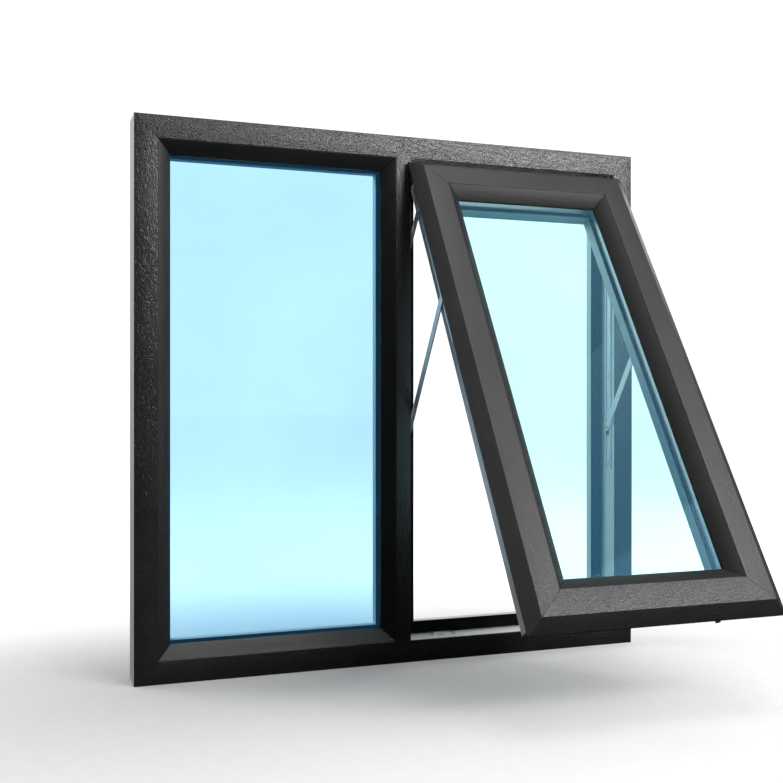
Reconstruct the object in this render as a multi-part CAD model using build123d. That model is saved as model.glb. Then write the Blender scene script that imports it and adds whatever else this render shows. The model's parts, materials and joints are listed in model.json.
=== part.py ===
from build123d import *
from math import asin, cos, pi, radians, sin, sqrt, tan
import os

# Two-light uPVC window: fixed light on the left, top-hung casement on the right.
# Millimetres. Origin at the centre of the sill's bottom face, X to the right seen from outside,
# Y into the room, Z up. Sections are given as (u, v): u runs inward from the member's outer edge,
# v runs back from its outside face.

# ---- Driving dimensions ----
WIDTH = 1000.0            # outer frame width
HEIGHT = 1000.0           # outer frame height
DEPTH = 70.0              # outer frame depth
LEG = 41.5                # visible outside face of the outer frame
SIGHTLINE = 66.0          # outer edge of the frame to the edge of its inner upstand
REBATE = 52.0             # outside face to the front of the inner upstand
MULLION_FACE = 30.4       # visible outside face of the mullion
WALL = 2.8                # profile wall thickness
STEEL_WALL = 1.5          # reinforcement tube wall
STEEL_GAP = 0.5           # clearance round the reinforcement
FRAME_WEBS = ((11.0, 13.0), (47.0, 49.0))   # depths of the webs across the frame profile
SASH_WEBS = ((20.0, 23.0), (47.0, 49.5))    # depths of the webs across the sash profile
EDGE_R = 1.2              # radius of the profiles' outside edges

OVERLAP = 9.0             # sash flange over the frame's outside face
STACK = 9.0               # gap between the sash body and the frame rebate
SEAL_GAP = 3.0            # gap between the sash flange and the frame's outside face
SASH_DEPTH = 71.0
FLANGE_EDGE = 17.4        # depth of the flange bevel
FLANGE_BACK = 20.0        # depth of the flange's back
BEVEL = 21.7              # width of the flange bevel
SASH_FACE = 62.8          # outer edge to the inner edge of the flat face
SASH_SIGHT = 85.6         # outer edge to the glass sightline
SASH_REBATE = 51.0        # outside face to the front of the sash's inner upstand

FRAME_BEAD = (23.7, 21.3, 24.0)   # bead width, bevel depth, total depth
SASH_BEAD = (22.8, 20.7, 23.0)
GLASS = 4.0
SPACER = 16.0
GASKET = 2.0
GLASS_EDGE = 5.5          # clearance round a glazed unit

OPEN_ANGLE = 31.8         # opening angle at rest, degrees
TRACK_Y = -14.0           # depth of the stay track's centre line
ARM_LOW = 796.1           # height of the link arm's fixed pivot
ARM_LENGTH = 84.3         # link arm, pivot to pivot
ARM_RATIO = 1.2           # link arm's turn for each degree of sash opening
BAR_SPACING = 210.8       # sash bar, link pivot to strut pivot
STRUT_RATIO = 1.068       # strut's turn for each degree of sash opening
STAY_WIDTH = 18.0

SPINDLE_U = 53.0          # sash outer edge to the handle spindle's axis
PITCH_R = 12.0            # lock pinion pitch radius
CAM_SPREAD = 130.0        # lock cam distance from the centre of the faceplate
FIXING_Y = 5.0            # depth of the wall fixings
FIXING_R = 4.1            # wall fixing hole radius
FIXING_Z = (200.0, 800.0)

# ---- Derived places ----
FRONT = -DEPTH / 2
LEFT = -WIDTH / 2
RIGHT = WIDTH / 2
UPSTAND = SIGHTLINE - LEG
HALF_FACE = MULLION_FACE / 2
HALF_MULLION = HALF_FACE + UPSTAND
REBATE_Y = FRONT + REBATE

SASH_X0 = HALF_FACE - OVERLAP
SASH_X1 = RIGHT - LEG + OVERLAP
SASH_Z0 = LEG - OVERLAP
SASH_Z1 = HEIGHT - LEG + OVERLAP
SASH_FRONT = FRONT - SEAL_GAP - FLANGE_BACK
SASH_BACK = SASH_FRONT + SASH_DEPTH
BODY = OVERLAP + STACK
SASH_MID = (SASH_X0 + SASH_X1) / 2
BODY_FLOOR = SASH_Z0 + BODY
SPINDLE_Z = SASH_Z0 + SPINDLE_U

PIVOT_HIGH = ARM_LOW + ARM_LENGTH
STRUT_HIGH = PIVOT_HIGH - BAR_SPACING
TURN = radians(OPEN_ANGLE)
STRUT_LENGTH = (
    ARM_LENGTH * sin(ARM_RATIO * TURN) + BAR_SPACING * sin(TURN)
) / sin(STRUT_RATIO * TURN)
STRUT_LOW = STRUT_HIGH - STRUT_LENGTH

os.makedirs("parts", exist_ok=True)


# ---- Shape helpers ----
def box(x0, x1, y0, y1, z0, z1):
    """Box between two corners."""
    middle = Pos((x0 + x1) / 2, (y0 + y1) / 2, (z0 + z1) / 2)
    return middle * Box(abs(x1 - x0), abs(y1 - y0), abs(z1 - z0))


def rod_x(x0, x1, y, z, r):
    return Pos((x0 + x1) / 2, y, z) * Rot(0, 90, 0) * Cylinder(r, abs(x1 - x0))


def rod_y(x, y0, y1, z, r):
    return Pos(x, (y0 + y1) / 2, z) * Rot(90, 0, 0) * Cylinder(r, abs(y1 - y0))


def rod_z(x, y, z0, z1, r):
    return Pos(x, y, (z0 + z1) / 2) * Cylinder(r, abs(z1 - z0))


def outline(points, rounded=(), radius=EDGE_R):
    """Closed flat section with some of its corners rounded."""
    face = Polygon(*points, align=None)
    for place in rounded:
        corner = face.vertices().sort_by_distance(Vector(*place, 0))[0]
        face = fillet(corner, radius)
    return face


def hollowed(face, chambers):
    """Section with rectangular chambers (u0, u1, v0, v1) taken out."""
    for u0, u1, v0, v1 in chambers:
        face -= Pos((u0 + u1) / 2, (v0 + v1) / 2) * Rectangle(u1 - u0, v1 - v0)
    return face


def upright(face, x, y, z0, z1, mirrored=False):
    """Section (u along X, v along Y) run up Z; mirrored turns u towards -X."""
    if mirrored:
        face = mirror(face, Plane.YZ)
    return extrude(Pos(x, y, z0) * face, amount=z1 - z0, dir=(0, 0, 1))


def level(face, x0, x1, y, z, upside_down=False):
    """Section (u along Z, v along Y) run along X; upside_down turns u towards -Z."""
    sense = -1 if upside_down else 1
    plane = Plane(origin=(x0, y, z), x_dir=(0, 0, sense), z_dir=(-sense, 0, 0))
    return extrude(plane * face, amount=x1 - x0, dir=(1, 0, 0))


def prism(points, y0, y1):
    """Polygon of (x, z) points run along Y."""
    plane = Plane(origin=(0, y0, 0), x_dir=(1, 0, 0), z_dir=(0, -1, 0))
    return extrude(plane * Polygon(*points, align=None), amount=y1 - y0, dir=(0, 1, 0))


def mitred_ring(face, x0, x1, z0, z1, y, reach):
    """Four members of a rectangular ring, each cut at 45 degrees: bottom, top, left, right."""
    front = y - 1
    back = y + 200
    bottom = prism([(x0, z0), (x1, z0), (x1 - reach, z0 + reach), (x0 + reach, z0 + reach)], front, back)
    top = prism([(x0, z1), (x0 + reach, z1 - reach), (x1 - reach, z1 - reach), (x1, z1)], front, back)
    left = prism([(x0, z0), (x0 + reach, z0 + reach), (x0 + reach, z1 - reach), (x0, z1)], front, back)
    right = prism([(x1, z0), (x1, z1), (x1 - reach, z1 - reach), (x1 - reach, z0 + reach)], front, back)
    return [
        level(face, x0, x1, y, z0) & bottom,
        level(face, x0, x1, y, z1, upside_down=True) & top,
        upright(face, x0, y, z0, z1) & left,
        upright(face, x1, y, z0, z1, mirrored=True) & right,
    ]


def ring(x0, x1, z0, z1, y0, y1, width):
    """Flat rectangular ring of the given width, inside the outline x0..x1, z0..z1."""
    inner = box(x0 + width, x1 - width, y0 - 1, y1 + 1, z0 + width, z1 - width)
    return box(x0, x1, y0, y1, z0, z1) - inner


def group(shapes):
    """Several separate solids in one node."""
    solids = [solid for shape in shapes for solid in shape.solids()]
    return Compound(children=solids) if len(solids) > 1 else solids[0]


def pierced(shape, cutters):
    """Shape with holes for the fasteners that pass through it."""
    for cutter in cutters:
        shape = shape - cutter
    return shape


def inner_tube(x0, x1, y0, y1, z0, z1, axis):
    """Square steel tube along axis X or Z."""
    wall = STEEL_WALL
    if axis == "X":
        bore = box(x0 - 1, x1 + 1, y0 + wall, y1 - wall, z0 + wall, z1 - wall)
    else:
        bore = box(x0 + wall, x1 - wall, y0 + wall, y1 - wall, z0 - 1, z1 + 1)
    return box(x0, x1, y0, y1, z0, z1) - bore


# ---- Motion of the stays, used to place everything in its resting pose ----
def swing(angle, y0, z0, y1, z1):
    """Turn about X through (y0, z0), then carry that point to (y1, z1)."""
    return Pos(0, y1, z1) * Rot(angle, 0, 0) * Pos(0, -y0, -z0)


arm_turn = ARM_RATIO * OPEN_ANGLE
strut_turn = STRUT_RATIO * OPEN_ANGLE
link_y = TRACK_Y - ARM_LENGTH * sin(radians(arm_turn))
link_z = ARM_LOW + ARM_LENGTH * cos(radians(arm_turn))
ARM_POSE = swing(arm_turn, TRACK_Y, ARM_LOW, TRACK_Y, ARM_LOW)
SASH_POSE = swing(-OPEN_ANGLE, TRACK_Y, PIVOT_HIGH, link_y, link_z)
strut_y = link_y - BAR_SPACING * sin(TURN)
strut_z = link_z - BAR_SPACING * cos(TURN)
STRUT_POSE = swing(strut_turn, TRACK_Y, STRUT_HIGH, strut_y, strut_z)
shoe_z = strut_z - STRUT_LENGTH * cos(radians(strut_turn))
SHOE_POSE = Pos(0, 0, shoe_z - STRUT_LOW)

nodes = {}


def keep(name, shape, pose=None):
    """Store a node, moved to its resting pose."""
    nodes[name] = pose * shape if pose else shape


# ---- Outer frame ----
frame_section = hollowed(
    outline(
        [(0, 0), (LEG, 0), (LEG, REBATE), (SIGHTLINE, REBATE), (SIGHTLINE, DEPTH), (0, DEPTH)],
        rounded=[(0, 0), (LEG, 0), (SIGHTLINE, DEPTH), (0, DEPTH)],
    ),
    [
        (WALL, LEG - WALL, WALL, FRAME_WEBS[0][0]),
        (WALL, LEG - WALL, FRAME_WEBS[0][1], FRAME_WEBS[1][0]),
        (WALL, LEG - WALL, FRAME_WEBS[1][1], DEPTH - WALL),
        (LEG, SIGHTLINE - WALL, REBATE + WALL, DEPTH - WALL),
    ],
)
sill, head, jamb_left, jamb_right = mitred_ring(frame_section, LEFT, RIGHT, 0, HEIGHT, FRONT, SIGHTLINE)

notch_low = SIGHTLINE - HALF_MULLION
notch_high = HEIGHT - notch_low
low_notch = [(-HALF_MULLION, SIGHTLINE), (0, notch_low), (HALF_MULLION, SIGHTLINE)]
high_notch = [(HALF_MULLION, HEIGHT - SIGHTLINE), (0, notch_high), (-HALF_MULLION, HEIGHT - SIGHTLINE)]
sill -= prism(low_notch, FRONT - 1, FRONT + DEPTH + 1)
head -= prism(high_notch, FRONT - 1, FRONT + DEPTH + 1)

mullion_section = hollowed(
    outline(
        [
            (-HALF_FACE, 0),
            (HALF_FACE, 0),
            (HALF_FACE, REBATE),
            (HALF_MULLION, REBATE),
            (HALF_MULLION, DEPTH),
            (-HALF_MULLION, DEPTH),
            (-HALF_MULLION, REBATE),
            (-HALF_FACE, REBATE),
        ],
        rounded=[(-HALF_FACE, 0), (HALF_FACE, 0), (HALF_MULLION, DEPTH), (-HALF_MULLION, DEPTH)],
    ),
    [
        (WALL - HALF_FACE, HALF_FACE - WALL, WALL, FRAME_WEBS[0][0]),
        (WALL - HALF_FACE, HALF_FACE - WALL, FRAME_WEBS[0][1], FRAME_WEBS[1][0]),
        (WALL - HALF_MULLION, HALF_MULLION - WALL, REBATE + WALL, DEPTH - WALL),
    ],
)
mullion = upright(mullion_section, 0, FRONT, notch_low, notch_high)
mullion &= prism(low_notch + high_notch, FRONT - 1, FRONT + DEPTH + 1)

# Steel tubes in the profiles' middle chambers
steel_y = (FRONT + FRAME_WEBS[0][1] + STEEL_GAP, FRONT + FRAME_WEBS[1][0] - STEEL_GAP)
steel_u = (WALL + STEEL_GAP, LEG - WALL - STEEL_GAP)
steel_x = (LEFT + SIGHTLINE, RIGHT - SIGHTLINE)
steel_z = (SIGHTLINE, HEIGHT - SIGHTLINE)
rail_steel = [
    inner_tube(*steel_x, *steel_y, *steel_u, "X"),
    inner_tube(*steel_x, *steel_y, HEIGHT - steel_u[1], HEIGHT - steel_u[0], "X"),
]
mullion_half = HALF_FACE - WALL - STEEL_GAP
mullion_steel = inner_tube(-mullion_half, mullion_half, *steel_y, *steel_z, "Z")
post_steel = [
    inner_tube(LEFT + steel_u[0], LEFT + steel_u[1], *steel_y, *steel_z, "Z"),
    inner_tube(RIGHT - steel_u[1], RIGHT - steel_u[0], *steel_y, *steel_z, "Z"),
]

# Wall fixing holes behind the stay tracks, through each jamb
wall_holes = [
    rod_x(side * (RIGHT - LEG - 1), side * (RIGHT + 1), FIXING_Y, z, FIXING_R)
    for side in (-1, 1)
    for z in FIXING_Z
]
jamb_left = pierced(jamb_left, wall_holes)
jamb_right = pierced(jamb_right, wall_holes)
post_steel = [pierced(tube, wall_holes) for tube in post_steel]


# ---- Glazing, the same build-up in both lights ----
def bead_section(width, bevel, depth, start):
    """Bevelled glazing bead, u measured from the member's outer edge."""
    return outline(
        [(start, 0.4), (start + width, bevel), (start + width, depth), (start, depth)],
        rounded=[(start + width, bevel)],
        radius=0.8,
    )


def glazing(prefix, x0, x1, z0, z1, y, bead, start, sight, pose=None):
    """Beads, gaskets, panes, spacer, sealant and setting blocks of one light.

    x0..z1 is the member ring's outer edge, start the rebate wall, sight the sightline.
    """
    section = bead_section(*bead, start)
    names = ("bottom", "top", "left", "right")
    reach = start + bead[0]
    for name, member in zip(names, mitred_ring(section, x0, x1, z0, z1, y, reach)):
        keep(f"{prefix}_bead_{name}", member, pose)
    seal_u = sight - 9
    unit_u = start + GLASS_EDGE
    outer = (x0 + seal_u, x1 - seal_u, z0 + seal_u, z1 - seal_u)
    unit = (x0 + unit_u, x1 - unit_u, z0 + unit_u, z1 - unit_u)
    front = y + bead[2]
    pane = front + GASKET
    back = pane + GLASS + SPACER
    keep(f"{prefix}_gasket_outer", ring(*outer, front, pane, 8.6), pose)
    keep(f"{prefix}_pane_outer", box(unit[0], unit[1], pane, pane + GLASS, unit[2], unit[3]), pose)
    inset = 5.0
    inner = (unit[0] + inset, unit[1] - inset, unit[2] + inset, unit[3] - inset)
    keep(f"{prefix}_spacer_bar", ring(*inner, pane + GLASS, back, 7.0), pose)
    keep(f"{prefix}_edge_seal", ring(*unit, pane + GLASS, back, inset), pose)
    keep(f"{prefix}_pane_inner", box(unit[0], unit[1], back, back + GLASS, unit[2], unit[3]), pose)
    keep(f"{prefix}_gasket_inner", ring(*outer, back + GLASS, back + GLASS + GASKET, 8.6), pose)
    block = 100.0
    low = (z0 + start, z0 + unit_u)
    blocks = [
        box(x, x + block, pane, back + GLASS, *low)
        for x in (unit[0] + 30, unit[1] - 30 - block)
    ]
    side_z = (z0 + z1) / 2 - block / 2
    blocks.append(box(x0 + start, x0 + unit_u, pane, back + GLASS, side_z, side_z + block))
    blocks.append(box(x1 - unit_u, x1 - start, pane, back + GLASS, side_z, side_z + block))
    keep(f"{prefix}_setting_blocks", group(blocks), pose)


fixed_x1 = LEG - HALF_FACE
glazing("fixed", LEFT, fixed_x1, 0, HEIGHT, FRONT, FRAME_BEAD, LEG, SIGHTLINE)
glazing("sash", SASH_X0, SASH_X1, SASH_Z0, SASH_Z1, SASH_FRONT, SASH_BEAD, SASH_FACE, SASH_SIGHT, SASH_POSE)

# Weather seal on the frame's upstand round the opening light
seal_x0 = HALF_FACE + 0.3
seal_x1 = RIGHT - LEG - 0.3
seal_z0 = LEG + 0.3
seal_z1 = HEIGHT - LEG - 0.3
weather_seal = ring(seal_x0, seal_x1, seal_z0, seal_z1, REBATE_Y - 1.5, REBATE_Y, UPSTAND - 0.6)
lip = 11.0
lip_ring = (seal_x0 + lip, seal_x1 - lip, seal_z0 + lip, seal_z1 - lip)
weather_seal += ring(*lip_ring, REBATE_Y - 3.6, REBATE_Y - 1.5, 6)
keep("frame_weather_seal", weather_seal)

# ---- Sash ----
sash_section = hollowed(
    outline(
        [
            (0, FLANGE_EDGE),
            (BEVEL, 0),
            (SASH_FACE, 0),
            (SASH_FACE, SASH_REBATE),
            (SASH_SIGHT, SASH_REBATE),
            (SASH_SIGHT, SASH_DEPTH),
            (BODY, SASH_DEPTH),
            (BODY, FLANGE_BACK),
            (0, FLANGE_BACK),
        ],
        rounded=[(BEVEL, 0), (SASH_FACE, 0), (SASH_SIGHT, SASH_DEPTH), (BODY, SASH_DEPTH)],
    ),
    [
        (BEVEL, SASH_FACE - WALL, WALL, SASH_WEBS[0][0]),
        (BODY + WALL, SASH_FACE - WALL, SASH_WEBS[0][1], SASH_WEBS[1][0]),
        (BODY + WALL, SASH_FACE - WALL, SASH_WEBS[1][1], SASH_DEPTH - WALL),
        (SASH_FACE, SASH_SIGHT - WALL, SASH_REBATE + WALL, SASH_DEPTH - WALL),
    ],
)
rail_bottom, rail_top, stile_left, stile_right = mitred_ring(
    sash_section, SASH_X0, SASH_X1, SASH_Z0, SASH_Z1, SASH_FRONT, SASH_SIGHT
)
sash_steel_y = (SASH_FRONT + SASH_WEBS[0][1] + STEEL_GAP, SASH_FRONT + SASH_WEBS[1][0] - STEEL_GAP)
sash_steel_u = (BODY + WALL + STEEL_GAP, SASH_FACE - WALL - STEEL_GAP)
sash_steel_x = (SASH_X0 + SASH_SIGHT, SASH_X1 - SASH_SIGHT)
sash_steel_z = (SASH_Z0 + SASH_SIGHT, SASH_Z1 - SASH_SIGHT)
sash_steel = [
    inner_tube(*sash_steel_x, *sash_steel_y, SASH_Z0 + sash_steel_u[0], SASH_Z0 + sash_steel_u[1], "X"),
    inner_tube(*sash_steel_x, *sash_steel_y, SASH_Z1 - sash_steel_u[1], SASH_Z1 - sash_steel_u[0], "X"),
    inner_tube(SASH_X0 + sash_steel_u[0], SASH_X0 + sash_steel_u[1], *sash_steel_y, *sash_steel_z, "Z"),
    inner_tube(SASH_X1 - sash_steel_u[1], SASH_X1 - sash_steel_u[0], *sash_steel_y, *sash_steel_z, "Z"),
]
flange_y = SASH_FRONT + FLANGE_BACK
flange_seal = ring(
    SASH_X0 + 2, SASH_X1 - 2, SASH_Z0 + 2, SASH_Z1 - 2, flange_y, flange_y + SEAL_GAP - 0.5, 8
)
keep("sash_weather_seal", flange_seal, SASH_POSE)

# ---- Friction stays, one on the mullion and one on the right jamb ----
TRACK_LOW = STRUT_LOW - 22
TRACK_HIGH = HEIGHT - LEG - 10
BAR_LOW = STRUT_HIGH - 90
BAR_HIGH = PIVOT_HIGH + 28
RIVET_R = 3.0
RIVET_CLEARANCE = 0.06
SCREW_R = 2.1
TRACK_SCREWS = (TRACK_LOW + 10, STRUT_LOW + 168, ARM_LOW - 45, ARM_LOW + 45, TRACK_HIGH - 12)
BAR_SCREWS = (BAR_LOW + 12, BAR_LOW + 50, STRUT_HIGH + 70, PIVOT_HIGH - 40)


def stack(side, distance):
    """X of a plane a distance into the gap from the frame; side 1 is the mullion, -1 the jamb."""
    return HALF_FACE + distance if side > 0 else RIGHT - LEG - distance


def rounded_bar(side, s0, s1, z0, z1, width):
    """Flat bar along Z with round ends centred on z0 and z1."""
    x0 = stack(side, s0)
    x1 = stack(side, s1)
    body = box(x0, x1, TRACK_Y - width / 2, TRACK_Y + width / 2, z0, z1)
    ends = [rod_x(x0, x1, TRACK_Y, z, width / 2) for z in (z0, z1)]
    return body + ends[0] + ends[1]


def stay_rod(side, s0, s1, z, r):
    return rod_x(stack(side, s0), stack(side, s1), TRACK_Y, z, r)


def stay_screw(side, head_s, tip_s, z):
    """Pan-head screw driven away from the head."""
    thickness = 0.9 if tip_s < head_s else -0.9
    return stay_rod(side, head_s, tip_s, z, SCREW_R) + stay_rod(side, head_s, head_s - thickness, z, 3.6)


def stay_track(side):
    """Channel with turned-in lips that hold the sliding shoe."""
    half = STAY_WIDTH / 2
    x0 = stack(side, 0)
    track = box(x0, stack(side, 1.4), TRACK_Y - half, TRACK_Y + half, TRACK_LOW, TRACK_HIGH)
    for edge in (-1, 1):
        wall = (TRACK_Y + edge * (half - 1.2), TRACK_Y + edge * half)
        lip = (TRACK_Y + edge * (half - 2.6), TRACK_Y + edge * half)
        track += box(x0, stack(side, 3.6), min(wall), max(wall), TRACK_LOW, TRACK_HIGH)
        track += box(stack(side, 2.8), stack(side, 3.6), min(lip), max(lip), TRACK_LOW, TRACK_HIGH)
    return track - stay_rod(side, -0.2, 1.6, ARM_LOW, RIVET_R + RIVET_CLEARANCE)


def end_cap(side):
    """Moulded cap that closes the top of the track and receives the sash bar's nose."""
    half = STAY_WIDTH / 2
    cap = box(stack(side, 0), stack(side, 8.2), TRACK_Y - half, TRACK_Y + half, TRACK_HIGH, TRACK_HIGH + 8)
    slot = box(stack(side, 3.9), stack(side, 8.4), TRACK_Y - 4, TRACK_Y + 4, TRACK_HIGH - 1, TRACK_HIGH + 5)
    return cap - slot


def shoe(side):
    """Brass slider: foot under the lips, block between them and the pivot for the strut."""
    ends = (STRUT_LOW - 16, STRUT_LOW + 16)
    foot = box(stack(side, 1.7), stack(side, 2.5), TRACK_Y - 7.4, TRACK_Y + 7.4, *ends)
    block = box(stack(side, 2.5), stack(side, 3.5), TRACK_Y - 6, TRACK_Y + 6, *ends)
    return foot + block + stay_rod(side, 3.5, 5.9, STRUT_LOW, RIVET_R)


track_screws = []
bar_screws = []
frame_rivets = []
sash_rivets = []
tracks = []
links = []
struts = []
bars = []
for side in (1, -1):
    driven = [stay_screw(side, 1.4, -10, z) for z in TRACK_SCREWS]
    track_screws += driven
    tracks.append(pierced(stay_track(side), driven))

    link = rounded_bar(side, 3.9, 6.1, ARM_LOW, PIVOT_HIGH, 15)
    pin = stay_rod(side, 0.2, 6.1, ARM_LOW, RIVET_R) + stay_rod(side, 1.7, 3.9, ARM_LOW, 5.6)
    frame_rivets.append(pin)
    link = link - stay_rod(side, 3, 7, ARM_LOW, RIVET_R)
    link = link - stay_rod(side, 3, 7, PIVOT_HIGH, RIVET_R + RIVET_CLEARANCE)
    links.append(link)

    strut = rounded_bar(side, 3.9, 6.1, STRUT_LOW, STRUT_HIGH, 15)
    for z in (STRUT_LOW, STRUT_HIGH):
        strut = strut - stay_rod(side, 3, 7, z, RIVET_R + RIVET_CLEARANCE)
    struts.append(strut)

    bar = rounded_bar(side, 6.4, STACK, BAR_LOW, BAR_HIGH, STAY_WIDTH - 2)
    pivots = [stay_rod(side, 4.1, STACK, z, RIVET_R) for z in (PIVOT_HIGH, STRUT_HIGH)]
    sash_rivets += pivots
    # Countersunk screws, so that the arms pass over them
    fixed = [
        stay_rod(side, 6.4, 19, z, SCREW_R) + stay_rod(side, 6.4, 7.8, z, 3.6) for z in BAR_SCREWS
    ]
    bar_screws += fixed
    bars.append(pierced(bar, pivots + fixed))

keep("stay_tracks", group(tracks))
keep("stay_end_caps", group([end_cap(side) for side in (1, -1)]))
keep("stay_links", group(links), ARM_POSE)
keep("stay_struts", group(struts), STRUT_POSE)
keep("stay_sash_bars", group(bars), SASH_POSE)
keep("stay_track_screws", group(track_screws))
keep("stay_frame_rivets", group(frame_rivets), ARM_POSE)
keep("stay_sash_rivets", group(sash_rivets), SASH_POSE)
keep("stay_shoes", group([shoe(side) for side in (1, -1)]), SHOE_POSE)

# ---- Espagnolette lock in the sash's bottom rail ----
LOCK_Y = 0.0
PLATE_LENGTH = 400.0
TRAVEL = PITCH_R * pi / 2
plate_z = (BODY_FLOOR - 2.4, BODY_FLOOR)
bar_z = (BODY_FLOOR + 0.3, BODY_FLOOR + 2.5)
cams_x = (SASH_MID - CAM_SPREAD, SASH_MID + CAM_SPREAD)
plate_x = (SASH_MID - PLATE_LENGTH / 2, SASH_MID + PLATE_LENGTH / 2)
case_x = (SASH_MID - 42, SASH_MID + 42)
case_z = (BODY_FLOOR + 2.8, SPINDLE_Z + 15.5)

faceplate = box(*plate_x, LOCK_Y - 8, LOCK_Y + 8, *plate_z)
for x in cams_x:
    slot = box(x - TRAVEL, x, LOCK_Y - 3.3, LOCK_Y + 3.3, plate_z[0] - 1, plate_z[1] + 1)
    for end in (x - TRAVEL, x):
        slot += rod_z(end, LOCK_Y, plate_z[0] - 1, plate_z[1] + 1, 3.3)
    faceplate -= slot
middle_screws_x = (SASH_MID - 108, SASH_MID + 150)
plate_screws = [
    rod_z(x, LOCK_Y, plate_z[0], BODY_FLOOR + 14, 1.9) + rod_z(x, LOCK_Y, plate_z[0], plate_z[0] + 1.6, 3.4)
    for x in (plate_x[0] + 12, *middle_screws_x, plate_x[1] - 12)
]
faceplate = pierced(faceplate, plate_screws)

# Drive bar with two roller cams below the faceplate and a rack block inside the case
drive_bar = box(plate_x[0] + 40, plate_x[1] - 15, LOCK_Y - 4, LOCK_Y + 4, *bar_z)
for x in middle_screws_x:
    drive_bar -= box(x - 4, x + TRAVEL + 4, LOCK_Y - 2.4, LOCK_Y + 2.4, bar_z[0] - 1, bar_z[1] + 1)
for x in cams_x:
    drive_bar += rod_z(x, LOCK_Y, plate_z[0] - 0.7, bar_z[0] + 0.1, 2.5)
    drive_bar += rod_z(x, LOCK_Y, plate_z[0] - 5.4, plate_z[0] - 0.7, 4.5)

TEETH = 16
SPINDLE_REACH = 31.5      # spindle, from the sash to its end in the lever
module = 2 * PITCH_R / TEETH
tooth_pitch = pi * module
addendum = 0.8 * module
dedendum = 1.05 * module
pressure = radians(20)
rack_top = SPINDLE_Z - PITCH_R
rack_root = rack_top - dedendum
rack_tip = rack_top + addendum
RACK_TEETH = 8
backlash = 0.25
rack_x0 = SASH_MID - 0.5 * tooth_pitch - 2 * tooth_pitch
block_x = (rack_x0 - 0.5 * tooth_pitch, rack_x0 + (RACK_TEETH - 0.5) * tooth_pitch)
drive_bar += box(*block_x, LOCK_Y - 3.2, LOCK_Y + 3.2, bar_z[1] - 0.1, rack_root)
for i in range(RACK_TEETH):
    centre = rack_x0 + i * tooth_pitch
    root_half = tooth_pitch / 4 + dedendum * tan(pressure) - backlash / 2
    tip_half = tooth_pitch / 4 - addendum * tan(pressure) - backlash / 2
    tooth = [
        (centre - root_half, rack_root - 0.1),
        (centre + root_half, rack_root - 0.1),
        (centre + tip_half, rack_tip),
        (centre - tip_half, rack_tip),
    ]
    drive_bar += prism(tooth, LOCK_Y - 3.2, LOCK_Y + 3.2)


def involute_angle(radius, base):
    """Polar angle of the involute of a base circle at a radius."""
    if radius <= base:
        return 0.0
    roll = sqrt((radius / base) ** 2 - 1)
    return roll - (pi / 2 - asin(base / radius))


def pinion_outline():
    """Involute teeth, thinned by the backlash; one tooth points straight down."""
    base = PITCH_R * cos(pressure)
    tip = PITCH_R + addendum
    root = PITCH_R - dedendum
    half = pi / (2 * TEETH) - backlash / (2 * PITCH_R) + involute_angle(PITCH_R, base)
    radii = [root, base, base + (tip - base) / 3, base + 2 * (tip - base) / 3, tip]
    points = []
    for i in range(TEETH):
        centre = -pi / 2 + 2 * pi * i / TEETH
        rising = [(r, centre - half + involute_angle(r, base)) for r in radii]
        falling = [(r, centre + half - involute_angle(r, base)) for r in reversed(radii)]
        points += [(SASH_MID + r * cos(a), SPINDLE_Z + r * sin(a)) for r, a in rising + falling]
    return points


pinion = prism(pinion_outline(), LOCK_Y - 3, LOCK_Y + 3)
pinion += rod_y(SASH_MID, LOCK_Y - 6.1, LOCK_Y + 6.1, SPINDLE_Z, 7.5)
spindle_half = 3.5
spindle_hole = box(
    SASH_MID - spindle_half, SASH_MID + spindle_half, LOCK_Y - 8, SASH_BACK + 60,
    SPINDLE_Z - spindle_half, SPINDLE_Z + spindle_half,
)
pinion -= spindle_hole
spindle = box(
    SASH_MID - spindle_half, SASH_MID + spindle_half, LOCK_Y - 6, SASH_BACK + SPINDLE_REACH,
    SPINDLE_Z - spindle_half, SPINDLE_Z + spindle_half,
)

case = box(*case_x, LOCK_Y - 6.1, LOCK_Y + 6.1, *case_z)
case -= box(case_x[0] + 1.5, case_x[1] - 1.5, LOCK_Y - 4.6, LOCK_Y + 4.6, case_z[0] - 1, case_z[1] - 1.5)
case -= rod_y(SASH_MID, LOCK_Y - 8, LOCK_Y + 8, SPINDLE_Z, 7.5 + RIVET_CLEARANCE)

# ---- Handle on the inside of the bottom rail ----
BASE_DEPTH = 11.0
BASE_LENGTH = 68.0
BASE_WIDTH = 26.0
HUB_R = 9.0
base_back = SASH_BACK + BASE_DEPTH


def stadium_y(x, z, length, width, y0, y1):
    """Bar with round ends, lying along X, run along Y."""
    reach = (length - width) / 2
    body = box(x - reach, x + reach, y0, y1, z - width / 2, z + width / 2)
    return body + rod_y(x - reach, y0, y1, z, width / 2) + rod_y(x + reach, y0, y1, z, width / 2)


handle_base = stadium_y(SASH_MID, SPINDLE_Z, BASE_LENGTH, BASE_WIDTH, SASH_BACK, base_back)
handle_base = fillet(handle_base.faces().sort_by(Axis.Y)[-1].edges(), 2.0)
base_screws_x = (SASH_MID - 21.5, SASH_MID + 21.5)
base_screws = [
    rod_y(x, base_back - 5.5, SASH_BACK - 20, SPINDLE_Z, 2.4)
    + rod_y(x, base_back - 5.5, base_back - 2.9, SPINDLE_Z, 4.4)
    for x in base_screws_x
]
screw_wells = [rod_y(x, base_back - 5.5, base_back + 1, SPINDLE_Z, 4.8) for x in base_screws_x]
handle_base = pierced(handle_base, base_screws + screw_wells)
handle_base -= rod_y(SASH_MID, SASH_BACK - 1, base_back + 1, SPINDLE_Z, HUB_R + RIVET_CLEARANCE)

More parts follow.
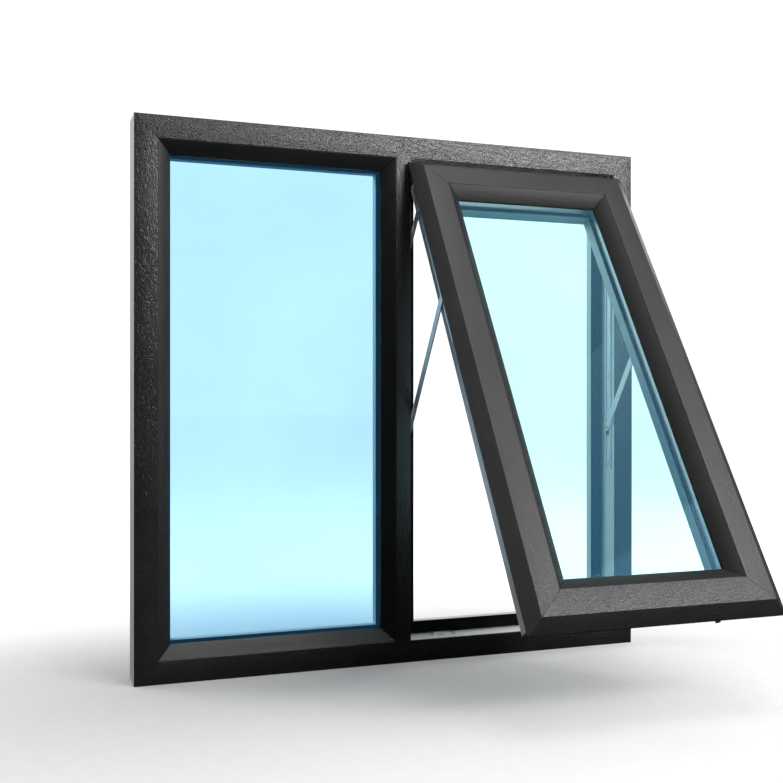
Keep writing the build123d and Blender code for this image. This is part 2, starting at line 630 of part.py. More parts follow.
LEVER_REACH = 108.0
lever_y = (SASH_BACK + 27, SASH_BACK + 39)
hub = rod_y(SASH_MID, SASH_BACK + 1, lever_y[1], SPINDLE_Z, HUB_R)
grip_points = [
    (SASH_MID + 6, SPINDLE_Z - 8.5),
    (SASH_MID + 6, SPINDLE_Z + 8.5),
    (SASH_MID - 30, SPINDLE_Z + 8.0),
    (SASH_MID - LEVER_REACH, SPINDLE_Z + 10.5),
    (SASH_MID - LEVER_REACH, SPINDLE_Z - 10.5),
    (SASH_MID - 30, SPINDLE_Z - 8.0),
]
grip = prism(grip_points, *lever_y)
grip = fillet(grip.edges().filter_by(Axis.Y), 5.0)
grip = fillet(grip.faces().sort_by(Axis.Y)[-1].edges(), 2.5)
grip = fillet(grip.faces().sort_by(Axis.Y)[0].edges(), 2.5)
lever = hub + grip
lever -= box(
    SASH_MID - spindle_half, SASH_MID + spindle_half, SASH_BACK, SASH_BACK + 34,
    SPINDLE_Z - spindle_half, SPINDLE_Z + spindle_half,
)

# Push button in the end of the lever's hub, pressed to free the lever
BUTTON_R = 4.5
BUTTON_TRAVEL = 2.0
button_y = (lever_y[1] - 4, lever_y[1] + 2.4)
well_floor = button_y[0] - BUTTON_TRAVEL - 0.4
lever -= rod_y(SASH_MID, well_floor, lever_y[1] + 1, SPINDLE_Z, BUTTON_R + RIVET_CLEARANCE)
button = rod_y(SASH_MID, *button_y, SPINDLE_Z, BUTTON_R)
button = fillet(button.edges().sort_by(Axis.Y)[-1], 0.8)

# Pockets that the lock and the handle need in the bottom rail
groove_y = (LOCK_Y - 4.6, LOCK_Y + 4.6)
pocket_y = (LOCK_Y - 6.4, LOCK_Y + 6.4)
plate_groove = box(plate_x[0] + 20, plate_x[1] - 8, *groove_y, BODY_FLOOR - 1, bar_z[1] + 0.4)
case_pocket = box(case_x[0] - 0.5, case_x[1] + 0.5, *pocket_y, BODY_FLOOR - 1, case_z[1] + 0.5)
spindle_pocket = rod_y(SASH_MID, LOCK_Y, SASH_BACK + 1, SPINDLE_Z, 6.0)
rail_cutters = [plate_groove, case_pocket, spindle_pocket] + plate_screws + base_screws
rail_bottom = pierced(rail_bottom, rail_cutters)
sash_steel = [pierced(tube, base_screws + bar_screws) for tube in sash_steel]
stile_left = pierced(stile_left, bar_screws)
stile_right = pierced(stile_right, bar_screws)

keep("lock_faceplate", faceplate, SASH_POSE)
keep("lock_faceplate_screws", group(plate_screws), SASH_POSE)
keep("lock_gear_case", pierced(case, base_screws), SASH_POSE)
keep("lock_drive_bar", drive_bar, SASH_POSE)
keep("lock_pinion", pinion, SASH_POSE)
keep("handle_spindle", spindle, SASH_POSE)
keep("handle_base", handle_base, SASH_POSE)
keep("handle_base_screws", group(base_screws), SASH_POSE)
keep("handle_lever", lever, SASH_POSE)
keep("handle_button", button, SASH_POSE)
keep("stay_bar_screws", group(bar_screws), SASH_POSE)
keep("sash_rail_bottom", rail_bottom, SASH_POSE)
keep("sash_rail_top", rail_top, SASH_POSE)
keep("sash_stile_left", stile_left, SASH_POSE)
keep("sash_stile_right", stile_right, SASH_POSE)
keep("sash_reinforcement_rails", group(sash_steel[:2]), SASH_POSE)
keep("sash_reinforcement_stiles", group(sash_steel[2:]), SASH_POSE)

# ---- Keeps on the sill that the roller cams slide behind ----
keeps = []
keep_screws = []
for x in cams_x:
    plate = box(x - TRAVEL - 16, x + 12, LOCK_Y - 11, LOCK_Y + 11, LEG, LEG + 2)
    plate -= box(x - TRAVEL - 5.5, x + 5.5, LOCK_Y - 12, LOCK_Y + 6, LEG - 1, LEG + 3)
    hook = box(x - TRAVEL - 16, x - TRAVEL + 5.5, LOCK_Y - 8.6, LOCK_Y - 5.1, LEG, LEG + 5.6)
    screws = [
        rod_z(place, LOCK_Y + 8.4, LEG + 2, LEG - 12, 1.6)
        + rod_z(place, LOCK_Y + 8.4, LEG + 1, LEG + 2, 2.4)
        for place in (x - TRAVEL - 11, x + 7)
    ]
    keep_screws += screws
    keeps.append(pierced(plate + hook, screws))
keep("lock_keeps", group(keeps))
keep("lock_keep_screws", group(keep_screws))

# ---- Frame members, pierced for the screws that enter them ----
keep("frame_sill", pierced(sill, keep_screws))
keep("frame_head", head)
keep("frame_jamb_left", jamb_left)
keep("frame_jamb_right", pierced(jamb_right, track_screws))
keep("frame_mullion", pierced(mullion, track_screws))
keep("frame_reinforcement_rails", group([pierced(tube, keep_screws) for tube in rail_steel]))
keep("frame_reinforcement_jambs", group([pierced(tube, track_screws) for tube in post_steel]))
keep("frame_reinforcement_mullion", pierced(mullion_steel, track_screws))

for name, shape in nodes.items():
    export_step(shape, f"parts/{name}.step")
print(len(nodes), "nodes; strut length", round(STRUT_LENGTH, 2), "shoe height", round(shoe_z, 2))
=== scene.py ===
import bmesh
import bpy
import json
from math import atan2, cos, pi, radians, sin, tan
from mathutils import Matrix, Vector


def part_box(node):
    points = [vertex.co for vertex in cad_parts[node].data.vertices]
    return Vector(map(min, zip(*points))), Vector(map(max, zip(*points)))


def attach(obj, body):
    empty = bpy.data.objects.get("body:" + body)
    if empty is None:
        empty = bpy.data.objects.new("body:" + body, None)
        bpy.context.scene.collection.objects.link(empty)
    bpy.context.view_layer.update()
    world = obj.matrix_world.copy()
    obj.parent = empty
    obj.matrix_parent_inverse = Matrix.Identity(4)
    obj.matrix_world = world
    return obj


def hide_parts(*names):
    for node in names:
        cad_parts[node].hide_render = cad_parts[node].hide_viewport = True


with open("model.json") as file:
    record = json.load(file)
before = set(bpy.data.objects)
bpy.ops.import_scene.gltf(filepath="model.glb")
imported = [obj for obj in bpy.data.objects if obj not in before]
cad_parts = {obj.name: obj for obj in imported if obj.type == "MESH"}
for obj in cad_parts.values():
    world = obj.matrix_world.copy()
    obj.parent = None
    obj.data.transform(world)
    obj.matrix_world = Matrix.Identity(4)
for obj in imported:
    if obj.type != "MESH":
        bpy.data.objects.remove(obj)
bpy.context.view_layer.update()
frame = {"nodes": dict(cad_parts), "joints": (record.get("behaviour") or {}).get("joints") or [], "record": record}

# ---------------------------------------------------------------- dimensions, metres
FRAME_LOW, FRAME_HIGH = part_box("frame_sill")[0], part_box("frame_head")[1]
LEFT, RIGHT = FRAME_LOW.x, FRAME_HIGH.x
BOTTOM, TOP = FRAME_LOW.z, FRAME_HIGH.z
FRONT, BACK = FRAME_LOW.y, FRAME_HIGH.y
DEPTH = BACK - FRONT
LEG = 0.0415
SIGHTLINE = 0.066
REBATE = 0.052
HALF_FACE = 0.0152
UPSTAND = SIGHTLINE - LEG
HALF_MULLION = HALF_FACE + UPSTAND
NOTCH = SIGHTLINE - HALF_MULLION
OVERLAP = 0.009
BODY = 0.018
FLANGE_EDGE = 0.0174
FLANGE_BACK = 0.020
BEVEL = 0.0217
SASH_FACE = 0.0628
SASH_SIGHT = 0.0856
SASH_REBATE = 0.051
SASH_DEPTH = 0.071
SEAL_GAP = 0.003
SASH_FRONT = FRONT - SEAL_GAP - FLANGE_BACK
FRAME_BEAD = (0.0237, 0.0213, 0.0240)
SASH_BEAD = (0.0228, 0.0207, 0.0230)
# Outlines of the two lights: x from, to, z from, to
FIXED_LIGHT = (LEFT, LEG - HALF_FACE, BOTTOM, TOP)
SASH_LIGHT = (HALF_FACE - OVERLAP, RIGHT - LEG + OVERLAP, LEG - OVERLAP, TOP - LEG + OVERLAP)
EDGE_R = 0.0012
WELD_HALF = 0.0005
WELD_DEPTH = 0.0003

# The sash is laid out closed, then carried to its resting pose
OPEN_ANGLE = radians(31.8)
PIVOT_CLOSED = Vector((0, -0.014, 0.8804))
joints = {joint["name"]: joint for joint in frame["joints"]}
PIVOT_REST = Vector((0, *joints["sash_pivot"]["pos_m"][1:]))
SASH_POSE = (
    Matrix.Translation(PIVOT_REST)
    @ Matrix.Rotation(-OPEN_ANGLE, 4, "X")
    @ Matrix.Translation(-PIVOT_CLOSED)
)


# ---------------------------------------------------------------- node helpers
class Nodes:
    """Short way to write the node tree of a material or a world."""

    def __init__(self, owner, output="ShaderNodeOutputMaterial"):
        owner.use_nodes = True
        self.tree = owner.node_tree
        self.tree.nodes.clear()
        self.output = self.add(output)

    def add(self, kind, **settings):
        node = self.tree.nodes.new(kind)
        for name, value in settings.items():
            setattr(node, name, value)
        return node

    def link(self, source, target):
        self.tree.links.new(source, target)

    def mapped(self, source, scale):
        node = self.add("ShaderNodeMapping")
        node.inputs["Scale"].default_value = scale
        self.link(source, node.inputs["Vector"])
        return node.outputs["Vector"]

    def noise(self, vector, scale, detail=3.0, roughness=0.55, distortion=0.0):
        node = self.add("ShaderNodeTexNoise")
        node.inputs["Scale"].default_value = scale
        node.inputs["Detail"].default_value = detail
        node.inputs["Roughness"].default_value = roughness
        node.inputs["Distortion"].default_value = distortion
        self.link(vector, node.inputs["Vector"])
        return node.outputs["Fac"]

    def ramp(self, source, stops):
        node = self.add("ShaderNodeValToRGB")
        ramp = node.color_ramp
        while len(ramp.elements) < len(stops):
            ramp.elements.new(0.5)
        for element, (place, colour) in zip(ramp.elements, stops):
            element.position = place
            element.color = (*colour, 1.0)
        self.link(source, node.inputs["Fac"])
        return node.outputs["Color"]

    def spread(self, source, low, high, start=0.0, end=1.0):
        """Map start..end to low..high."""
        node = self.add("ShaderNodeMapRange")
        node.inputs["From Min"].default_value = start
        node.inputs["From Max"].default_value = end
        node.inputs["To Min"].default_value = low
        node.inputs["To Max"].default_value = high
        self.link(source, node.inputs["Value"])
        return node.outputs["Result"]

    def maths(self, operation, first, second=None):
        node = self.add("ShaderNodeMath", operation=operation)
        for socket, value in zip(node.inputs, (first, second)):
            if value is None:
                continue
            if isinstance(value, (int, float)):
                socket.default_value = value
            else:
                self.link(value, socket)
        return node.outputs[0]

    def bump(self, height, distance, strength=1.0):
        node = self.add("ShaderNodeBump")
        node.inputs["Strength"].default_value = strength
        node.inputs["Distance"].default_value = distance
        self.link(height, node.inputs["Height"])
        return node.outputs["Normal"]

    def surface(self, **values):
        """Principled shader; a value that is a socket is linked, any other is set."""
        shader = self.add("ShaderNodeBsdfPrincipled")
        for name, value in values.items():
            socket = shader.inputs[name.replace("_", " ")]
            if isinstance(value, bpy.types.NodeSocket):
                self.link(value, socket)
            else:
                socket.default_value = value
        self.link(shader.outputs[0], self.output.inputs["Surface"])
        return shader


def material(name):
    made = bpy.data.materials.new(name)
    return made, Nodes(made)


# ---------------------------------------------------------------- materials
def foil(name, base, relief, rough=(0.36, 0.50), ripple_scale=175, gloss=0.55):
    """Black embossed foil: creased woodgrain that runs along the member."""
    made, n = material(name)
    uv = n.add("ShaderNodeUVMap", uv_map="grain").outputs["UV"]
    wave = n.noise(n.mapped(uv, (0.55, 1.0, 1.0)), ripple_scale, 2.5, 0.55, 1.1)
    crease = n.maths("ABSOLUTE", n.maths("SUBTRACT", n.maths("MULTIPLY", wave, 2.0), 1.0))
    pebble = n.noise(n.mapped(uv, (0.5, 1.0, 1.0)), 430, 2.0, 0.6, 0.3)
    height = n.maths("ADD", n.maths("MULTIPLY", crease, -0.8), n.maths("MULTIPLY", pebble, 0.45))
    shade = n.noise(uv, 9, 3.0, 0.6)
    low = tuple(c * 0.75 for c in base)
    high = tuple(c * 1.25 for c in base)
    n.surface(
        Base_Color=n.ramp(n.maths("ADD", n.maths("MULTIPLY", pebble, 0.6), n.maths("MULTIPLY", shade, 0.4)),
                          [(0.36, low), (0.66, high)]),
        Roughness=n.spread(shade, *rough),
        Specular_IOR_Level=gloss,
        Normal=n.bump(height, relief),
    )
    return made


def white_plastic():
    """Smooth white frame plastic with faint extrusion lines and handling marks."""
    made, n = material("white_upvc")
    uv = n.add("ShaderNodeUVMap", uv_map="grain").outputs["UV"]
    streaks = n.noise(n.mapped(uv, (0.02, 1.0, 1.0)), 900, 2.0)
    cloud = n.noise(uv, 22, 4.0, 0.6)
    n.surface(
        Base_Color=n.ramp(cloud, [(0.30, (0.81, 0.82, 0.81)), (0.70, (0.83, 0.84, 0.83))]),
        Roughness=n.spread(cloud, 0.26, 0.32),
        Specular_IOR_Level=0.5,
        Normal=n.bump(streaks, 0.00002),
    )
    return made


def rubber():
    made, n = material("black_rubber")
    place = n.add("ShaderNodeTexCoord").outputs["Object"]
    fine = n.noise(place, 1400, 2.0)
    dust = n.noise(place, 60, 4.0, 0.7)
    n.surface(
        Base_Color=n.ramp(dust, [(0.35, (0.002, 0.002, 0.002)), (0.75, (0.006, 0.006, 0.007))]),
        Roughness=n.spread(dust, 0.55, 0.75),
        Specular_IOR_Level=0.12,
        Normal=n.bump(fine, 0.00003),
    )
    return made


def glass(name, tint, reflection, painted_glow):
    """Float glass: clear tinted body, faint haze of dust, slight draw waves and a faint painted blue glow standing
    in for reflected light.
    """
    made, n = material(name)
    place = n.add("ShaderNodeTexCoord").outputs["Object"]
    cloud = n.noise(place, 3.2, 3.0, 0.5)
    wave = n.noise(n.mapped(place, (1.0, 1.0, 0.35)), 5.0, 1.0)
    pale = tuple(min(1.0, c * 1.03) for c in tint)
    deep = tuple(c * 0.985 for c in tint)
    n.surface(
        Base_Color=n.ramp(cloud, [(0.35, deep), (0.70, pale)]),
        Roughness=0.0,
        IOR=1.5,
        Transmission_Weight=1.0,
        Specular_IOR_Level=0.08,
        Specular_Tint=(*reflection, 1.0),
        # Painted reflection: a faint blue emission makes the glass glow though it is no lamp
        Emission_Color=(0.12, 0.58, 1.0, 1.0),
        Emission_Strength=painted_glow,
        Normal=n.bump(wave, 0.00004),
    )
    return made


def metal(name, low, high, rough, scale=(30, 900, 900), relief=0.000008):
    """Brushed or plated metal, its marks running along X when scale.x is small."""
    made, n = material(name)
    place = n.add("ShaderNodeTexCoord").outputs["Object"]
    brushed = n.noise(n.mapped(place, scale), 1.0, 3.0, 0.6)
    blotch = n.noise(place, 55, 3.0, 0.6)
    mix = n.maths("ADD", n.maths("MULTIPLY", brushed, 0.5), n.maths("MULTIPLY", blotch, 0.5))
    n.surface(
        Base_Color=n.ramp(mix, [(0.35, low), (0.68, high)]),
        Metallic=1.0,
        Roughness=n.spread(mix, rough[0], rough[1]),
        Normal=n.bump(brushed, relief),
    )
    return made


def moulded(name, low, high, rough=(0.35, 0.5), texture=900, relief=0.00002, coat=0.0):
    """Moulded or powder-coated finish with a fine orange peel."""
    made, n = material(name)
    place = n.add("ShaderNodeTexCoord").outputs["Object"]
    peel = n.noise(place, texture, 2.0)
    cloud = n.noise(place, 40, 3.0, 0.6)
    n.surface(
        Base_Color=n.ramp(cloud, [(0.32, low), (0.70, high)]),
        Roughness=n.spread(cloud, rough[0], rough[1]),
        Specular_IOR_Level=0.5,
        Coat_Weight=coat,
        Normal=n.bump(peel, relief),
    )
    return made


FOIL = foil("foil_frame", (0.022, 0.021, 0.022), 0.0008, rough=(0.24, 0.36))
# The beads are the frame's foil given a darker base colour: painted shade on their bevels
FOIL_BEAD_PAINTED_SHADE = foil("foil_bead_painted_shade", (0.015, 0.015, 0.015), 0.0003)
FOIL_SASH_BEAD_PAINTED_SHADE = foil("foil_sash_bead_painted_shade", (0.013, 0.013, 0.013), 0.0003, rough=(0.42, 0.56), gloss=0.36)
FOIL_SASH = foil("foil_sash", (0.024, 0.023, 0.024), 0.0006, ripple_scale=260)
WHITE = white_plastic()
RUBBER = rubber()
# The last number is the strength of each pane's painted blue glow
GLASS_FIXED = glass("glass_fixed", (0.66, 0.87, 1.0), (0.0, 0.18, 0.4), 0.015)
GLASS_SASH = glass("glass_sash", (0.77, 0.98, 1.0), (0.0, 0.12, 0.22), 0.022)
STAINLESS = metal("stainless_stay", (0.90, 0.90, 0.90), (0.97, 0.97, 0.97), (0.48, 0.62), (900, 900, 25))
ZINC = metal("zinc_plate", (0.70, 0.71, 0.70), (0.86, 0.86, 0.84), (0.30, 0.46))
GALVANISED = metal("galvanised_steel", (0.40, 0.42, 0.44), (0.60, 0.62, 0.64), (0.38, 0.55), (160, 160, 160))
BRASS = metal("brass_shoe", (0.50, 0.36, 0.14), (0.66, 0.50, 0.24), (0.26, 0.40), (300, 300, 60))
CHROME = metal(
    "button_chrome", (0.72, 0.73, 0.74), (0.84, 0.85, 0.86), (0.08, 0.16), (200, 200, 200), relief=0.000002
)
ALUMINIUM = metal("spacer_aluminium", (0.56, 0.57, 0.58), (0.72, 0.73, 0.74), (0.34, 0.48), (40, 600, 40))
POWDER = moulded("white_powder_coat", (0.74, 0.745, 0.74), (0.84, 0.845, 0.84), coat=0.25)
CAP = moulded("cap_plastic", (0.62, 0.62, 0.60), (0.74, 0.74, 0.72))
BLOCK = moulded("setting_block_blue", (0.05, 0.16, 0.36), (0.08, 0.23, 0.47), (0.45, 0.6))


# ---------------------------------------------------------------- swept profiles
def rounded_section(corners, steps=4):
    """Section points and the material of the edge after each.

    A corner is (u, v, radius, material index of the edge that starts there).
    """
    points = []
    finishes = []
    count = len(corners)
    for i, (u, v, radius, finish) in enumerate(corners):
        here = Vector((u, v))
        if radius == 0:
            points.append(here)
            finishes.append(finish)
            continue
        before = (Vector(corners[i - 1][:2]) - here).normalized()
        after = (Vector(corners[(i + 1) % count][:2]) - here).normalized()
        half = before.angle(after) / 2
        reach = radius / tan(half)
        centre = here + (before + after).normalized() * (radius / sin(half))
        start = here + before * reach - centre
        end = here + after * reach - centre
        first = atan2(start.y, start.x)
        sweep = (atan2(end.y, end.x) - first + pi) % (2 * pi) - pi
        arc_finish = min(corners[i - 1][3], finish)
        for step in range(steps + 1):
            angle = first + sweep * step / steps
            points.append(centre + radius * Vector((cos(angle), sin(angle))))
            finishes.append(finish if step == steps else arc_finish)
    return points, finishes


def inset(points, depth):
    """Section points moved inwards by about depth."""
    area = sum(a.x * b.y - b.x * a.y for a, b in zip(points, points[1:] + points[:1]))
    sense = 1 if area > 0 else -1
    moved = []
    for before, here, after in zip(points[-1:] + points[:-1], points, points[1:] + points[:1]):
        first = (here - before).normalized()
        second = (after - here).normalized()
        normal = Vector((-first.y - second.y, first.x + second.x))
        if normal.length > 1e-6:
            here = here + normal.normalized() * depth * sense
        moved.append(here)
    return moved


def sweep(piece_name, runs, materials, pose=None):
    """Closed prisms from (section, place, start, end, grain offset) runs, in one object.

    place(u, v, along) gives a point; start(u) and end(u) give where the member's ends cut it.
    """
    mesh = bpy.data.meshes.new(piece_name)
    shape = bmesh.new()
    grain = shape.loops.layers.uv.new("grain")
    for (points, finishes), place, start, end, offset in runs:
        sunk = inset(points, WELD_DEPTH)
        around = [0.0]
        for a, b in zip(points, points[1:] + points[:1]):
            around.append(around[-1] + (b - a).length)
        loops = []
        lengths = []
        for section, cut, shift in (
            (sunk, start, 0.0),
            (points, start, WELD_HALF),
            (points, end, -WELD_HALF),
            (sunk, end, 0.0),
        ):
            along = [cut(p.x) + shift for p in points]
            loops.append([shape.verts.new(place(p.x, p.y, a)) for p, a in zip(section, along)])
            lengths.append(along)
        count = len(points)
        for k in range(3):
            for i in range(count):
                j = (i + 1) % count
                corners = ((k, i, i), (k, j, i + 1), (k + 1, j, i + 1), (k + 1, i, i))
                face = shape.faces.new([loops[row][column] for row, column, _ in corners])
                face.material_index = finishes[i]
                for loop, (row, column, turn) in zip(face.loops, corners):
                    loop[grain].uv = (lengths[row][column] + offset, around[turn] + offset)
        for row in (0, 3):
            face = shape.faces.new(loops[row])
            face.material_index = finishes[0]
            for loop, p in zip(face.loops, points):
                loop[grain].uv = (p.x + offset, p.y)
    bmesh.ops.recalc_face_normals(shape, faces=shape.faces)
    if pose:
        shape.transform(pose)
    shape.to_mesh(mesh)
    shape.free()
    for made in materials:
        mesh.materials.append(made)
    mesh.shade_smooth()
    mesh.set_sharp_from_angle(angle=radians(28))
    piece = bpy.data.objects.new(piece_name, mesh)
    bpy.context.scene.collection.objects.link(piece)
    return piece


def ring_places(x0, x1, z0, z1, y):
    """For each member: how (u, v, along) lies in space, and where its outer edge starts and ends."""
    return {
        "bottom": (lambda u, v, a: (a, y + v, z0 + u), x0, x1),
        "top": (lambda u, v, a: (a, y + v, z1 - u), x0, x1),
        "left": (lambda u, v, a: (x0 + u, y + v, a), z0, z1),
        "right": (lambda u, v, a: (x1 - u, y + v, a), z0, z1),
    }


def mitred(low, high):
    """Cuts at 45 degrees: further in, the member is shorter at both ends."""
    return (lambda u: low + u), (lambda u: high - u)


def finish_piece(piece, body, slot, *nodes):
    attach(piece, body)
    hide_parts(*nodes)


# Finish indices of a profile's edges
OUT, IN = 0, 1

# ---------------------------------------------------------------- outer frame
frame_corners = [
    (0, 0, EDGE_R, OUT),
    (NOTCH, 0, 0, OUT),
    (LEG, 0, EDGE_R, IN),
    (LEG, REBATE, 0, IN),
    (SIGHTLINE, REBATE, 0, IN),
    (SIGHTLINE, DEPTH, EDGE_R, IN),
    (NOTCH, DEPTH, 0, IN),
    (0, DEPTH, EDGE_R, IN),
]
frame_profile = rounded_section(frame_corners)
frame_places = ring_places(LEFT, RIGHT, BOTTOM, TOP, FRONT)


def notched(centre, sense):
    """End of a sill or head half at the mullion's V-weld."""
    return lambda u: centre + sense * max(0.0, u - NOTCH)


for side, node in (("left", "frame_jamb_left"), ("right", "frame_jamb_right")):
    place, low, high = frame_places[side]
    start, end = mitred(low, high)
    offset = 0.31 if side == "left" else 1.73
    piece = sweep(f"{node}_profile", [(frame_profile, place, start, end, offset)], [FOIL, WHITE])
    finish_piece(piece, "frame", "foiled_profile", node)
for side, node in (("bottom", "frame_sill"), ("top", "frame_head")):
    place, low, high = frame_places[side]
    start, end = mitred(low, high)
    halves = [
        (frame_profile, place, start, notched(0.0, -1), 0.53),
        (frame_profile, place, notched(0.0, 1), end, 2.37),
    ]
    piece = sweep(f"{node}_profile", halves, [FOIL, WHITE])
    finish_piece(piece, "frame", "foiled_profile", node)

mullion_corners = [
    (-HALF_FACE, 0, EDGE_R, OUT),
    (0, 0, 0, OUT),
    (HALF_FACE, 0, EDGE_R, IN),
    (HALF_FACE, REBATE, 0, IN),
    (HALF_MULLION, REBATE, 0, IN),
    (HALF_MULLION, DEPTH, EDGE_R, IN),
    (0, DEPTH, 0, IN),
    (-HALF_MULLION, DEPTH, EDGE_R, IN),
    (-HALF_MULLION, REBATE, 0, IN),
    (-HALF_FACE, REBATE, 0, IN),
]
piece = sweep(
    "frame_mullion_profile",
    [(
        rounded_section(mullion_corners),
        lambda u, v, a: (u, FRONT + v, a),
        lambda u: BOTTOM + NOTCH + abs(u),
        lambda u: TOP - NOTCH - abs(u),
        3.11,
    )],
    [FOIL, WHITE],
)
finish_piece(piece, "frame", "foiled_profile", "frame_mullion")

# ---------------------------------------------------------------- sash
sash_corners = [
    (0, FLANGE_EDGE, 0.0006, OUT),
    (BEVEL, 0, EDGE_R, OUT),
    (SASH_FACE, 0, 0.0008, OUT),
    (SASH_FACE, SASH_REBATE, 0, IN),
    (SASH_SIGHT, SASH_REBATE, 0, IN),
    (SASH_SIGHT, SASH_DEPTH, EDGE_R, IN),
    (BODY, SASH_DEPTH, EDGE_R, IN),
    (BODY, FLANGE_BACK, 0, IN),
    (0, FLANGE_BACK, 0.0006, OUT),
]
sash_profile = rounded_section(sash_corners)
sash_nodes = {
    "bottom": "sash_rail_bottom",
    "top": "sash_rail_top",
    "left": "sash_stile_left",
    "right": "sash_stile_right",
}
for number, (side, (place, low, high)) in enumerate(
    ring_places(*SASH_LIGHT, SASH_FRONT).items()
):
    start, end = mitred(low, high)
    node = sash_nodes[side]
    run = (sash_profile, place, start, end, 4.0 + 0.77 * number)
    piece = sweep(f"{node}_profile", [run], [FOIL_SASH, WHITE], SASH_POSE)
    finish_piece(piece, "sash", "foiled_profile", node)


# ---------------------------------------------------------------- glazing beads
def beads(prefix, outline, y, start_u, bead, body, made, pose=None):
    width, bevel, depth = bead
    corners = [
        (start_u + 0.0001, 0.0004, 0.0004, OUT),
        (start_u + width, bevel, 0.0010, OUT),
        (start_u + width, depth, 0, OUT),
        (start_u + 0.0001, depth, 0, OUT),
    ]
    section = rounded_section(corners)
    for number, (side, (place, low, high)) in enumerate(ring_places(*outline, y).items()):
        start, end = mitred(low, high)
        node = f"{prefix}_bead_{side}"
        run = (section, place, start, end, 7.0 + 0.59 * number)
        piece = sweep(f"{node}_profile", [run], [made], pose)
        finish_piece(piece, body, "foiled_bead", node)


beads("fixed", FIXED_LIGHT, FRONT, LEG, FRAME_BEAD, "frame", FOIL_BEAD_PAINTED_SHADE)
beads("sash", SASH_LIGHT, SASH_FRONT, SASH_FACE, SASH_BEAD, "sash", FOIL_SASH_BEAD_PAINTED_SHADE, SASH_POSE)

# ---------------------------------------------------------------- finishes of the CAD nodes
SLOT_MATERIALS = {
    "zinc_steel": ZINC,
    "galvanised_steel": GALVANISED,
    "spacer_aluminium": ALUMINIUM,
    "black_rubber": RUBBER,
    "block_plastic": BLOCK,
    "foiled_bead": FOIL_BEAD_PAINTED_SHADE,
    "foiled_profile": FOIL,
    "cap_plastic": CAP,
    "brass": BRASS,
    "stay_steel": STAINLESS,
    "lock_steel": ZINC,
    "button_chrome": CHROME,
    "handle_paint": POWDER,
}
for entry in frame["record"]["subparts"]:
    node, slot = entry["node"], entry["material_slot"]
    obj = frame["nodes"][node]
    if slot == "glass":
        chosen = GLASS_FIXED if node.startswith("fixed") else GLASS_SASH
    else:
        chosen = SLOT_MATERIALS[slot]
    obj.data.materials.clear()
    obj.data.materials.append(chosen)


# ---------------------------------------------------------------- stage, light and camera
FLOOR_HALF = 30.0
FLOOR_DROP = 0.0005
# The floor's own glow, dim near the window as a painted shadow and full far off, and the reach over which it rises
FLOOR_GLOW_AND_PAINTED_SHADOW = (0.12, 1.02)
PAINTED_SHADOW_REACH = (0.15, 1.8)
# The painted shadow lies left of the middle, is wider than deep, and ends sooner behind
SHADE_LEFT = 0.3
SHADE_WIDTH_GAIN = 0.7
SHADE_BACK_GAIN = 2.0

LIGHT_TARGET = Vector((0.1, 0.0, 0.5))
LIGHT_DISTANCE = 3.2
BACKDROP = 1.16
SKY_DARK, SKY_BRIGHT = (0.004, 0.004, 0.004), (0.12, 0.12, 0.12)
SKY_FROM, SKY_TO = -0.25, 0.9
REAR_GAIN = 6.0

CAMERA_LEFT = 0.1926
CAMERA_AHEAD = 1.865
CAMERA_HEIGHT = 0.501
CAMERA_TURN = radians(-19.71)
LENS_MM = 48.16
SENSOR_MM = 36.0
LENS_RISE = 0.0096


def stage_floor():
    """Pale studio floor whose glow brightens into the white backdrop away from the window; its dim glow near the
    window's base is a painted shadow.
    """
    made, n = material("floor")
    place = n.add("ShaderNodeTexCoord").outputs["Object"]
    grain = n.noise(place, 40, 2.0)
    split = n.add("ShaderNodeSeparateXYZ")
    n.link(place, split.inputs[0])
    # Distance from the centre of the painted shadow, counted shorter sideways and longer behind
    side = n.maths("MULTIPLY", n.maths("ADD", split.outputs["X"], SHADE_LEFT), SHADE_WIDTH_GAIN)
    ahead = n.maths("MULTIPLY", split.outputs["Y"], -1.0)
    behind = n.maths("MULTIPLY", split.outputs["Y"], SHADE_BACK_GAIN)
    deep = n.maths("MAXIMUM", ahead, behind)
    reach = n.maths("SQRT", n.maths("ADD", n.maths("MULTIPLY", side, side), n.maths("MULTIPLY", deep, deep)))
    n.surface(
        Base_Color=n.ramp(grain, [(0.3, (0.45, 0.45, 0.45)), (0.7, (0.47, 0.47, 0.47))]),
        Roughness=0.9,
        Specular_IOR_Level=0.1,
        # Painted shadow: the glow is dim near the window's base and rises to full white far off
        Emission_Color=(1.0, 1.0, 1.0, 1.0),
        Emission_Strength=n.spread(reach, *FLOOR_GLOW_AND_PAINTED_SHADOW, *PAINTED_SHADOW_REACH),
    )
    mesh = bpy.data.meshes.new("floor")
    level = BOTTOM - FLOOR_DROP
    corners = [(x * FLOOR_HALF, y * FLOOR_HALF, level) for x, y in ((-1, -1), (1, -1), (1, 1), (-1, 1))]
    mesh.from_pydata(corners, [], [(0, 1, 2, 3)])
    mesh.materials.append(made)
    floor = bpy.data.objects.new("floor", mesh)
    bpy.context.scene.collection.objects.link(floor)
    floor.visible_diffuse = False
    floor.visible_glossy = False


def area_light(name, azimuth, elevation, size, power):
    """Soft light on a sphere about the window; azimuth 0 is in front, 90 to the right."""
    turn, rise = radians(azimuth), radians(elevation)
    away = Vector((sin(turn) * cos(rise), -cos(turn) * cos(rise), sin(rise)))
    data = bpy.data.lights.new(name, "AREA")
    data.energy = power
    data.size = size
    light = bpy.data.objects.new(name, data)
    light.location = LIGHT_TARGET + away * LIGHT_DISTANCE
    light.rotation_mode = "QUATERNION"
    light.rotation_quaternion = (-away).to_track_quat("-Z", "Y")
    bpy.context.scene.collection.objects.link(light)
    light.visible_camera = False
    light.visible_transmission = False


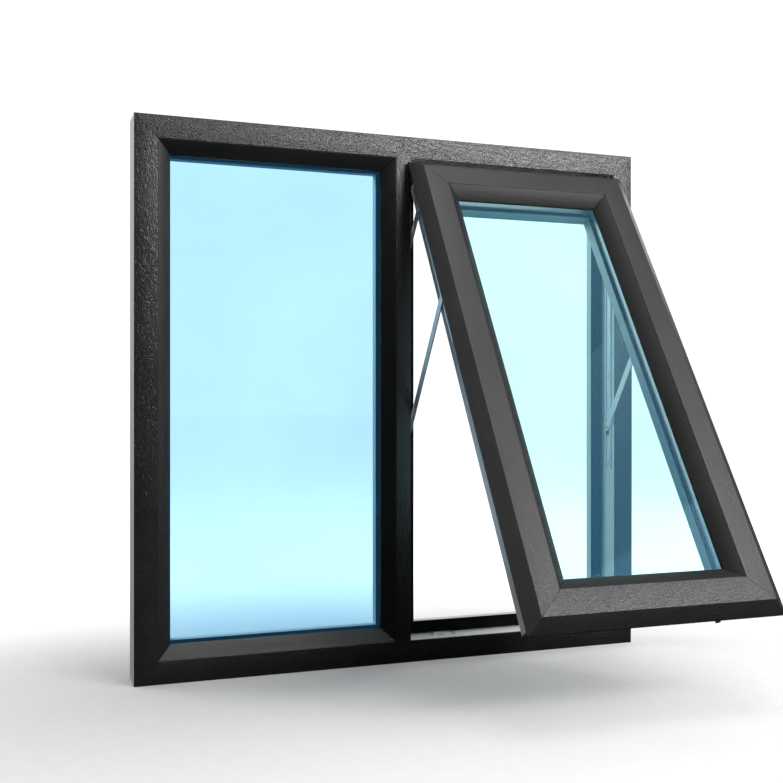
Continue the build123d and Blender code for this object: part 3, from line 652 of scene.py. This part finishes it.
def studio_world():
    """White backdrop; the light it gives fades towards the ground and is strongest behind."""
    world = bpy.data.worlds.new("studio")
    bpy.context.scene.world = world
    n = Nodes(world, "ShaderNodeOutputWorld")
    path = n.add("ShaderNodeLightPath").outputs
    split = n.add("ShaderNodeSeparateXYZ")
    n.link(n.add("ShaderNodeTexCoord").outputs["Generated"], split.inputs[0])
    height = n.spread(split.outputs["Z"], 0.0, 1.0, SKY_FROM, SKY_TO)
    rear = n.maths("MAXIMUM", split.outputs["Y"], 0.0)
    light = n.add("ShaderNodeBackground")
    n.link(n.ramp(height, [(0.0, SKY_DARK), (1.0, SKY_BRIGHT)]), light.inputs["Color"])
    n.link(n.maths("ADD", n.maths("MULTIPLY", rear, REAR_GAIN), 1.0), light.inputs["Strength"])
    backdrop = n.add("ShaderNodeBackground")
    backdrop.inputs["Color"].default_value = (1, 1, 1, 1)
    backdrop.inputs["Strength"].default_value = BACKDROP
    # The backdrop is seen directly and through glass, but lights nothing through glass
    direct = n.maths("LESS_THAN", path["Diffuse Depth"], 0.5)
    through = n.maths("MULTIPLY", path["Is Transmission Ray"], direct)
    mix = n.add("ShaderNodeMixShader")
    n.link(n.maths("MAXIMUM", path["Is Camera Ray"], through), mix.inputs["Fac"])
    n.link(light.outputs[0], mix.inputs[1])
    n.link(backdrop.outputs[0], mix.inputs[2])
    n.link(mix.outputs[0], n.output.inputs["Surface"])


def camera():
    """Level camera to the left of the fixed light, turned towards the opening sash."""
    data = bpy.data.cameras.new("camera")
    data.lens = LENS_MM
    data.sensor_width = SENSOR_MM
    data.shift_y = LENS_RISE
    shot = bpy.data.objects.new("camera", data)
    shot.location = (LEFT - CAMERA_LEFT, FRONT - CAMERA_AHEAD, CAMERA_HEIGHT)
    shot.rotation_euler = (radians(90), 0, CAMERA_TURN)
    bpy.context.scene.collection.objects.link(shot)
    bpy.context.scene.camera = shot


stage_floor()
studio_world()
camera()
for name, azimuth, elevation, size, power in (
    ("behind_left", -120, 30, 1.6, 50),
    ("behind_right", 130, 30, 1.6, 20),
    ("overhead", 15, 75, 1.6, 35),
    ("front_left", -10, 35, 1.6, 6),
    ("front", 10, 28, 0.6, 14),
    ("front_right", 20, 28, 0.6, 17),
    ("head_sheen", 32, 21, 0.5, 32),
    ("right_high", 50, 35, 1.6, 13),
    ("right_front", 42, 28, 0.8, 9),
    ("right_low", 60, 25, 0.8, 5),
):
    area_light(name, azimuth, elevation, size, power)
bpy.context.scene.view_settings.view_transform = "Standard"
